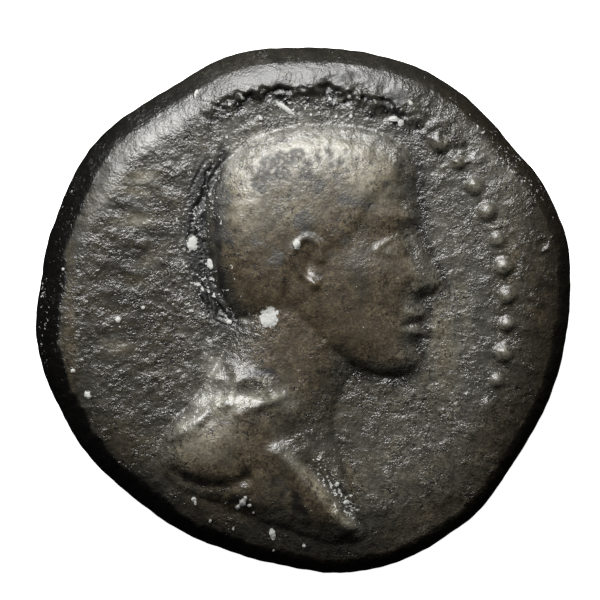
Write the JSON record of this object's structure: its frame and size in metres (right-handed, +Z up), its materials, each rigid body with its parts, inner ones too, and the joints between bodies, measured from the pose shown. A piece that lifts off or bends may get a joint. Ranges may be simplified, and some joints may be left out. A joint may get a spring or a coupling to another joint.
{
  "type": "ancient bronze coin",
  "caption": "Thick hand-struck coin with an off-centre bust in relief, part of a dotted border and a rolled edge; lies flat on its worn reverse.",
  "frame": {"origin": "under the middle of the flan, on the plane that the worn reverse rests on", "axes": "+Z up out of the obverse, the top of the bust along +Y, and the bust faces +X"},
  "size_m": [0.022, 0.0216, 0.0042],
  "materials": {
    "bronze": "dark worn patina, tan on the highest relief"
  },
  "bodies": {
    "root": {"coin": "bronze"}
  },
  "joints": []
}
